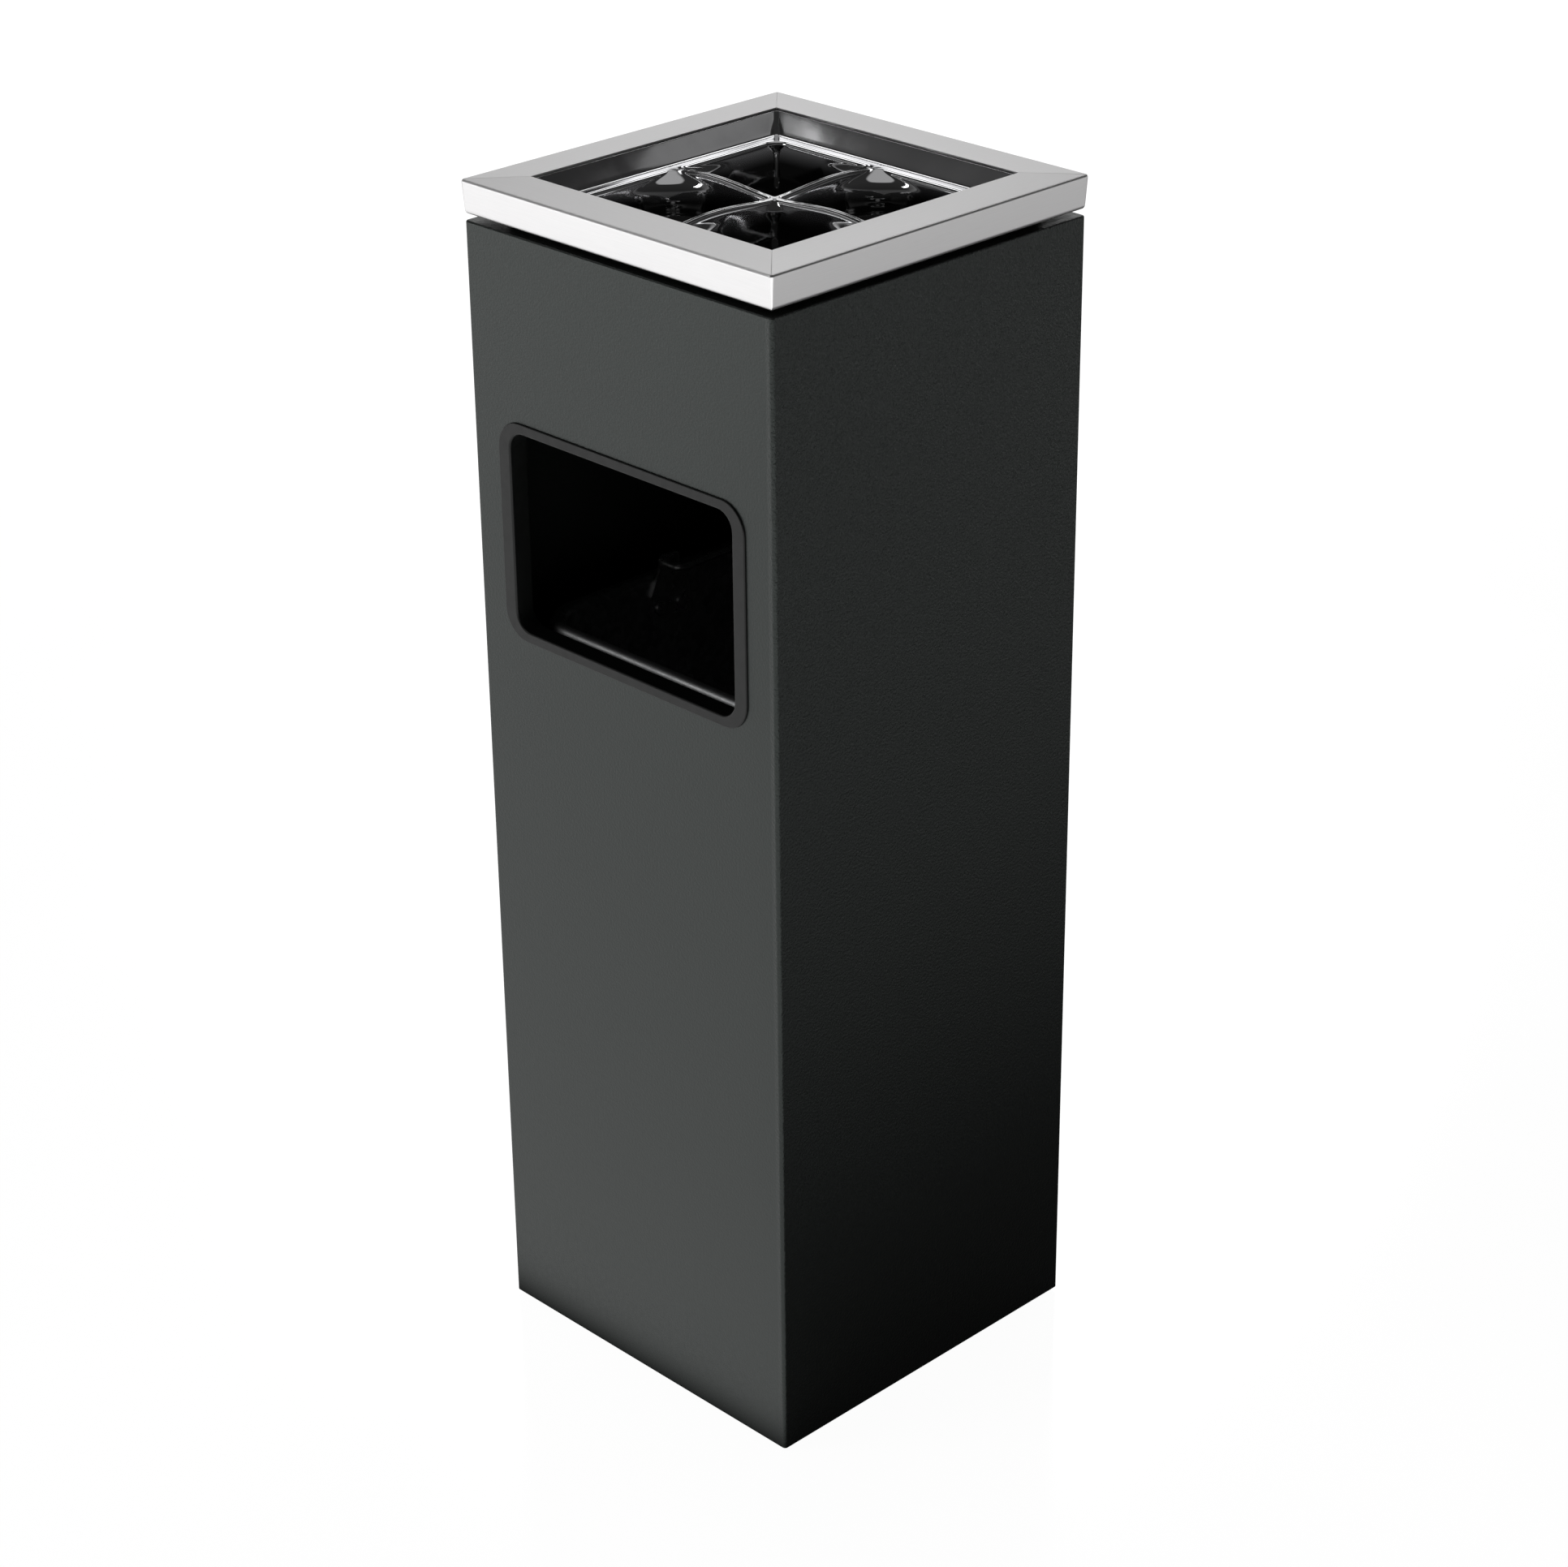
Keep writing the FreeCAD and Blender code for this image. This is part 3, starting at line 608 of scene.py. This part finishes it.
def make_trim():
    """Moulded frame: flange on the front face, sleeve through the sheet, and snap barbs behind it."""
    bm = bmesh.new()
    hole_x, hole_z, hole_r = TRIM_OPENING
    half_x = TRIM_HIGH.x
    half_z = (TRIM_HIGH.z - TRIM_LOW.z) / 2
    front = TRIM_LOW.y
    back = TRIM_HIGH.y
    rings = [upright(rounded_outline(*TRIM_OPENING), back)]
    for across, height in arc((0, 0), TRIM_MOUTH_R, HALF_TURN, QUARTER_TURN):
        grow = TRIM_MOUTH_R + across
        outline = rounded_outline(hole_x + grow, hole_z + grow, hole_r + grow)
        rings.append(upright(outline, front + TRIM_MOUTH_R - height))
    for across, height in arc((0, 0), TRIM_EDGE_R, QUARTER_TURN, 0):
        shrink = TRIM_EDGE_R - across
        outline = rounded_outline(half_x - shrink, half_z - shrink, TRIM_OUTER_R - shrink)
        rings.append(upright(outline, front + TRIM_EDGE_R - height))
    rings += [
        upright(rounded_outline(half_x, half_z, TRIM_OUTER_R), -BODY_HALF),
        upright(rounded_outline(*TRIM_SLEEVE), -BODY_HALF),
        upright(rounded_outline(*TRIM_SLEEVE), back),
    ]
    add_skin(bm, rings, closed=True)
    for quarter in range(4):
        reach = TRIM_SLEEVE[1 - quarter % 2]
        for side in (-1, 1):
            add_barb(bm, reach, side * BARB_SPREADS[quarter % 2], quarter * QUARTER_TURN)
    finish_piece(bm, "waste_opening_frame", "cabinet", [PLASTIC], "opening_trim")


def add_barb(bm, reach, place, angle):
    """Wedge on the sleeve that snaps behind the sheet; reach is from the opening's centre."""
    behind = -BODY_HALF + BODY_SHEET + SHEET_HOLE_GAP
    root = reach - BARB_ROOT
    section = [(behind, root), (behind, reach + BARB_REACH), (behind + BARB_DEPTH, root)]
    ends = []
    for along in (place - BARB_LENGTH / 2, place + BARB_LENGTH / 2):
        ring = []
        for y, out in section:
            across = Vector((along, out))
            across.rotate(Matrix.Rotation(angle, 2))
            ring.append(Vector((across.x, y, OPENING_Z + across.y)))
        ends.append(ring)
    cap_ends(bm, add_skin(bm, ends))


# ---------------------------------------------------------------- ashtray


def rim_ring(half, z, on_band):
    """Ring of the rim. On the band the corner is sharp and has a fine mitre groove."""
    core = RIM_HIGH.x - RIM_CORNER_R
    radius = max(half - core, 0.0)
    points = square(half, radius, z)
    if not on_band:
        return points
    per_side = CORNER_STEPS + 2
    for quarter in range(4):
        first = quarter * per_side
        middle = first + CORNER_STEPS // 2
        corner = points[middle].copy()
        for i in range(first, first + CORNER_STEPS + 1):
            if i == middle:
                points[i].z -= MITRE_DEPTH
            elif radius == 0:
                side = Vector((-1, 0, 0)) if i < middle else Vector((0, 1, 0))
                side.rotate(Quaternion((0, 0, 1), quarter * QUARTER_TURN))
                points[i] = corner + side * MITRE_WIDTH
    return points


def make_rim():
    """Folded satin frame: sloping band, skirt and rolled lower edge, mitred at its corners."""
    half = RIM_HIGH.x
    top = RIM_HIGH.z
    outer_z = top - RIM_RISE
    foot = RIM_LOW.z
    skirt = half - SKIRT_LEAN
    inner_r = SKIRT_ROLL_R - RIM_SHEET
    skin = [(half - RIM_BAND, top), (half, outer_z), (skirt, foot), (skirt - SKIRT_LIP, foot)]
    lining = [
        (skirt - SKIRT_LIP, foot + RIM_SHEET), (skirt - RIM_SHEET, foot + RIM_SHEET),
        (half - RIM_SHEET, outer_z - RIM_SHEET), (half - RIM_BAND, top - RIM_SHEET),
    ]
    radii = [RIM_INNER_EDGE_R, RIM_BEND_R, SKIRT_ROLL_R, 0, 0, inner_r, RIM_INSIDE_BEND_R, 0]
    bm = bmesh.new()
    rings = []
    for across, height in rounded_section(skin + lining, radii):
        on_band = height > outer_z - MITRE_WITHIN and across < half - MITRE_STOP
        rings.append(rim_ring(across, height, on_band))
    add_skin(bm, rings, closed=True)
    piece = finish_piece(
        bm, "ashtray_rim", "ashtray", [SATIN_X, SATIN_Y], "rim_frame")
    for face in piece.data.polygons:
        face.material_index = 0 if abs(face.center.y) > abs(face.center.x) else 1


def make_dish():
    """Pressed dish: flange, sloping wall, ledge, and four pockets about a cross-shaped ridge."""
    bm = bmesh.new()
    mouth_z = DISH_HIGH.z
    section = rounded_section(
        [(DISH_HIGH.x, mouth_z), (DISH_MOUTH_HALF, mouth_z), (DISH_LEDGE_HALF, LEDGE_Z), (0, LEDGE_Z)],
        [0, DISH_MOUTH_R, DISH_BEND_R, 0],
    )[:-1]
    rings = []
    for across, height in section:
        radius = max(DISH_CORNER_R, across - DISH_MOUTH_HALF + DISH_CORNER_R)
        rings.append(square(across, radius, height, 2 * POCKET_STEPS))
    add_skin(bm, rings)
    ledge_edge = section[-1][0]
    for turn in range(4):
        add_pocket(bm, ledge_edge, Matrix.Rotation(turn * QUARTER_TURN, 4, "Z"))
    for vert in bm.verts:
        vert.co.z += crown(vert.co)
    piece = finish_piece(
        bm, "ash_dish_pressing", "ashtray", [MIRROR], "ash_dish")
    smoother = piece.modifiers.new("smooth_pressing", "SUBSURF")
    smoother.levels = 1
    smoother.render_levels = 1
    thickness = piece.modifiers.new("sheet", "SOLIDIFY")
    thickness.thickness = DISH_SHEET
    thickness.offset = -1
    thickness.use_even_offset = True
    piece.modifiers.move(0, 2)      # the even normals come after the other two


def crown(place):
    """How far the ridge's crest is arched above the ledge: most halfway along each arm."""
    along = max(abs(place.x), abs(place.y))
    beside = min(abs(place.x), abs(place.y))
    depth = LEDGE_Z - place.z
    on_arm = beside <= CROWN_WIDTH and along <= DISH_LEDGE_HALF
    if not on_arm or not 0 <= depth + TOUCHING < CROWN_DEPTH:
        return 0
    if along < CROWN_PEAK:
        rise = math.sin(QUARTER_TURN * along / CROWN_PEAK) ** 2
    else:
        rise = math.cos(QUARTER_TURN * (along - CROWN_PEAK) / (DISH_LEDGE_HALF - CROWN_PEAK)) ** 2
    across = math.cos(QUARTER_TURN * beside / CROWN_WIDTH) ** 2
    return CROWN * rise * across * (1 - depth / CROWN_DEPTH)


def eased(depth, values):
    """Value at a depth below the ledge, eased between those at CORNER_DEPTHS."""
    knots = list(zip(CORNER_DEPTHS, values))
    for (above, first), (below, second) in zip(knots, knots[1:]):
        if depth < below:
            share = (depth - above) / (below - above)
            return first + (second - first) * share * share * (3 - 2 * share)
    return values[-1]


def add_pocket(bm, ledge_edge, turn):
    """One quarter of the ledge and ridge, with its pocket."""
    middle = (POCKET_OUTER + POCKET_INNER) / 2
    half = (POCKET_OUTER - POCKET_INNER) / 2
    floor_z = LEDGE_Z - POCKET_DEPTH
    section = rounded_section(
        [(half + 2 * POCKET_LIP_R, LEDGE_Z), (half, LEDGE_Z), (half - POCKET_DRAFT, floor_z), (0, floor_z)],
        [0, POCKET_LIP_R, POCKET_FLOOR_R, 0],
    )[1:-1]
    rings = []
    for across, height in finer(section, WALL_STEP):
        depth = LEDGE_Z - height
        ridge_end = eased(depth, RIDGE_END_R)
        radii = (ridge_end, eased(depth, OUTER_R), ridge_end, eased(depth, CROSSING_R))
        ring = square(across, radii, height, POCKET_STEPS)
        rings.append([p + Vector((middle, middle, 0)) for p in ring])
    quarter = quarter_outline(ledge_edge)
    flat = []
    for step in range(LEDGE_STEPS):
        share = step / LEDGE_STEPS
        flat.append([edge.lerp(mouth, share) for edge, mouth in zip(quarter, rings[0])])
    rings = [[turn @ p for p in ring] for ring in flat + rings]
    rows = add_skin(bm, rings)
    bm.faces.new(rows[-1])


def quarter_outline(edge):
    """Outline of a quarter of the ledge, point for point like a pocket's."""
    points = []
    for point in rounded_outline(edge / 2, edge / 2, 0.0, POCKET_STEPS):
        points.append(Vector((point.x + edge / 2, point.y + edge / 2, LEDGE_Z)))
    first = CORNER_STEPS + POCKET_STEPS
    core = edge - DISH_CORNER_R
    for step in range(CORNER_STEPS + 1):
        angle = QUARTER_TURN * step / CORNER_STEPS
        points[first + step].x = core + DISH_CORNER_R * math.cos(angle)
        points[first + step].y = core + DISH_CORNER_R * math.sin(angle)
    return points


# ---------------------------------------------------------------- bucket


def make_bucket():
    """Galvanised wall with its upper edge rolled outwards round the rim wire, and a lap seam."""
    bm = bmesh.new()
    bead = (BUCKET_HIGH.x - BEAD_R, BUCKET_HIGH.z - BEAD_R)
    foot = BUCKET_LOW.z
    curl_end = HALF_TURN - CURL_TURN
    section = [(BUCKET_INNER, foot)]
    section += arc(bead, BEAD_R, HALF_TURN, curl_end, CURL_STEPS)
    section += arc(bead, BEAD_R - BUCKET_SHEET, curl_end, HALF_TURN, CURL_STEPS)
    section.append((BUCKET_INNER + BUCKET_SHEET, foot))
    rings = [square(across, across - BUCKET_CORE, height) for across, height in section]
    add_skin(bm, rings, closed=True)
    add_lap_seam(bm, foot + SEAM_MARGIN, bead[1] - BEAD_R - SEAM_MARGIN)
    finish_piece(bm, "bucket_liner", "bucket", [GALVANISED], "bucket_wall")


def add_lap_seam(bm, low, high):
    """Strip of sheet up the back of the bucket's wall, its outer edges chamfered."""
    wall_y = BUCKET_INNER + BUCKET_SHEET
    levels = ((low, SEAM_EDGE), (low + SEAM_EDGE, 0), (high - SEAM_EDGE, 0), (high, SEAM_EDGE))
    rings = []
    for z, inset in levels:
        half = BUCKET_SEAM / 2 - inset
        proud = BUCKET_SHEET - inset
        shoulder = SEAM_SHOULDER * proud
        right = [(half, 0), (half, shoulder), (half - SEAM_EDGE, proud)]
        section = right + [(-along, out) for along, out in right[::-1]]
        rings.append([Vector((along, wall_y + out, z)) for along, out in section])
    cap_ends(bm, add_skin(bm, rings))


def bent_route(corners, radii):
    """Points along straight runs joined by arcs."""
    points = []
    for i, (corner, radius) in enumerate(zip(corners, radii)):
        if radius == 0:
            points.append(Vector(corner))
            continue
        points += [Vector(p) for p in rounded_section(corners[i - 1:i + 2], [0, radius, 0])[1:-1]]
    return points


def wire_ring(centre, ahead):
    """Ring of the wire's surface about a point on its level route."""
    side = Vector((ahead.y, -ahead.x, 0))
    ring = []
    for step in range(WIRE_SIDES):
        angle = 2 * HALF_TURN * step / WIRE_SIDES
        offset = side * math.cos(angle) + Vector((0, 0, math.sin(angle)))
        ring.append(centre + offset * BAIL_WIRE_R)
    return ring


def make_bail():
    """Wire bail, hooked outwards through both ears and lying back on the rear bead."""
    bm = bmesh.new()
    hook_x = BAIL_HIGH.x - BAIL_WIRE_R
    reach = BAIL_HIGH.y - BAIL_WIRE_R
    z = (BAIL_LOW.z + BAIL_HIGH.z) / 2
    right = [(hook_x, BAIL_HOOK_LENGTH), (hook_x, 0), (BAIL_ARM_X, 0), (BAIL_ARM_X, reach)]
    radii = [0, BAIL_HOOK_BEND_R, BAIL_HOOK_BEND_R, BAIL_BEND_R]
    route = bent_route(right + [(-x, y) for x, y in right[::-1]], radii + radii[::-1])
    rings = []
    for i, point in enumerate(route):
        ahead = (route[min(i + 1, len(route) - 1)] - route[max(i - 1, 0)]).normalized()
        rings.append(wire_ring(Vector((point.x, point.y, z)), ahead))
    cap_ends(bm, add_skin(bm, rings))
    finish_piece(bm, "bail_wire", "bail", [ZINC], "bail_handle")


# ---------------------------------------------------------------- pieces kept from the design


def paint_kept_nodes():
    finishes = {
        "base_plate": COAT, "seat_collar": COAT,
        "bucket_bottom": GALVANISED, "bucket_rim_wire": GALVANISED,
        "bail_ear_left": ZINC, "bail_ear_right": ZINC, "ear_rivets": ZINC,
        "foot_screws": ZINC, "foot_washers": ZINC, "foot_nuts": ZINC,
        "foot_front_left": RUBBER, "foot_front_right": RUBBER,
        "foot_rear_left": RUBBER, "foot_rear_right": RUBBER,
    }
    for node, material in finishes.items():
        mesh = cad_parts[node].data
        mesh.materials.clear()
        mesh.materials.append(material)


# ---------------------------------------------------------------- studio

FLOOR_SIZE = 40
FLOOR_SEEN = 0.97
FLOOR_BESIDE = (BODY_HALF + 0.15, BODY_HALF + 1.0, 0.03, 0.75)      # from X, to X, dim, bright
FLOOR_IN_FRONT = (-BODY_HALF - 0.02, -BODY_HALF, 1.2, 0.0)          # from Y, to Y, bright, none

# Ramps of the world's strength over the cosine of the angle from a direction: where the cosine
# begins and ends, and the strength at each.
UP = (0, 0, 1)
BEHIND = (-1, 1, 0)
HORIZON_BY_HEIGHT = (0.38, 0.16, 0.0, 1.0)
HORIZON_BY_SIDE = (-0.12, 0.85, 0.08, 1.05)
GLOWS = (
    ((-0.970, 0.242, 0.966), (0.989, 0.995, 0.0, 2.2)),     # left spot, high up
    ((-0.242, 0.970, 0.966), (0.989, 0.995, 0.0, 2.2)),     # right spot, as high
    ((-0.707, 0.707, 0.51), (0.984, 0.991, 0.0, 1.25)),     # bright disc, lower and between them
    ((-0.707, 0.707, 1.9), (0.95, 0.975, 0.0, 0.4)),        # dim disc above them
    ((-0.64, -0.675, 0.30), (0.90, 0.97, 0.03, 0.10)),      # faint glow on the left
)

# Place, what it is aimed at, width, height and radiance of each soft box.
SOFT_BOXES = {
    "front_card": ((-1.3, -2.4, 0.25), (-0.6, 0, 0.3), 3.2, 0.6, 1.5),
    "right_back": ((1.28, 1.64, 2.12), (0, 0, 0.6), 1.0, 0.12, 0.2),
    "left_side": ((-1.64, -1.28, 1.92), (0, 0, 0.6), 1.0, 0.08, 1.3),
    "opening_light": ((-1.06, -1.92, 2.51), (0, 0, 0.39), 1.0, 0.6, 6),
}


def floor_glow(finish):
    """Even and pale where it is seen. As a reflection it is bright in front of the bin, and on its
    right dim close by and brighter further out."""
    axes = finish.axes()
    beside = finish.ramp(axes["X"], *FLOOR_BESIDE)
    in_front = finish.ramp(axes["Y"], *FLOOR_IN_FRONT)
    reflected = finish.add(beside, in_front, 1.0)
    seen = finish.nodes.new("ShaderNodeLightPath").outputs["Is Camera Ray"]
    mix = finish.nodes.new("ShaderNodeMix")
    finish.links.new(seen, mix.inputs[0])
    finish.links.new(reflected, mix.inputs[2])
    mix.inputs[3].default_value = FLOOR_SEEN
    return mix.outputs[0]


def make_floor():
    """Grey, faintly glossy floor that glows, so that it is seen as an even pale one."""
    finish = Finish("studio_floor", Specular_IOR_Level=0.5)
    finish.mottled(finish.noise(1.5), *FLOOR_TONES)
    finish.uneven(finish.noise(4), 0.10, 0.14)
    finish.shader.inputs["Emission Color"].default_value = WHITE
    finish.links.new(floor_glow(finish), finish.shader.inputs["Emission Strength"])
    bpy.ops.mesh.primitive_plane_add(size=FLOOR_SIZE)
    floor = bpy.context.object
    floor.name = "floor"
    floor.data.materials.append(finish.material)


class Sky:
    """The world's nodes, with short calls for strengths that depend on the direction."""

    def __init__(self):
        world = bpy.data.worlds.new("studio")
        bpy.context.scene.world = world
        world.use_nodes = True
        self.nodes = world.node_tree.nodes
        self.links = world.node_tree.links
        self.direction = self.nodes.new("ShaderNodeTexCoord").outputs["Generated"]

    def glow(self, target, ramp):
        """Strength by the cosine of the angle between the direction and the target."""
        cosine = self.nodes.new("ShaderNodeVectorMath")
        cosine.operation = "DOT_PRODUCT"
        cosine.inputs[1].default_value = Vector(target).normalized()
        self.links.new(self.direction, cosine.inputs[0])
        node = self.nodes.new("ShaderNodeMapRange")
        node.interpolation_type = "SMOOTHSTEP"
        set_range(node, *ramp)
        self.links.new(cosine.outputs["Value"], node.inputs["Value"])
        return node.outputs["Result"]

    def combined(self, operation, first, second):
        node = self.nodes.new("ShaderNodeMath")
        node.operation = operation
        self.links.new(first, node.inputs[0])
        self.links.new(second, node.inputs[1])
        return node.outputs["Value"]

    def show(self, strength):
        """Lights the scene with the strength, and looks plain white to the camera."""
        lit = self.nodes["Background"]
        lit.inputs["Color"].default_value = WHITE
        self.links.new(strength, lit.inputs["Strength"])
        plain = self.nodes.new("ShaderNodeBackground")
        plain.inputs["Color"].default_value = WHITE
        path = self.nodes.new("ShaderNodeLightPath")
        mix = self.nodes.new("ShaderNodeMixShader")
        self.links.new(path.outputs["Is Camera Ray"], mix.inputs["Fac"])
        self.links.new(lit.outputs["Background"], mix.inputs[1])
        self.links.new(plain.outputs["Background"], mix.inputs[2])
        self.links.new(mix.outputs["Shader"], self.nodes["World Output"].inputs["Surface"])


def make_world():
    """A bright horizon behind the bin that fades towards the front, and a few soft glows."""
    sky = Sky()
    low_down = sky.glow(UP, HORIZON_BY_HEIGHT)
    strength = sky.combined("MULTIPLY", low_down, sky.glow(BEHIND, HORIZON_BY_SIDE))
    for target, ramp in GLOWS:
        strength = sky.combined("ADD", strength, sky.glow(target, ramp))
    sky.show(strength)


def soft_box(name, at, towards, width, height, radiance):
    """Rectangular light that lights the bin but isn't seen by the camera."""
    data = bpy.data.lights.new(name, "AREA")
    data.shape = "RECTANGLE"
    data.size = width
    data.size_y = height
    data.energy = radiance * math.pi * width * height
    light = bpy.data.objects.new(name, data)
    bpy.context.scene.collection.objects.link(light)
    light.location = at
    light.rotation_mode = "QUATERNION"
    light.rotation_quaternion = (Vector(towards) - Vector(at)).to_track_quat("-Z", "Y")
    light.visible_camera = False


def make_lights():
    for name, settings in SOFT_BOXES.items():
        soft_box(name, *settings)


make_camera()
make_column()
make_trim()
make_rim()
make_dish()
make_bucket()
make_bail()
paint_kept_nodes()
make_floor()
make_world()
make_lights()
bpy.context.scene.view_settings.view_transform = "Standard"
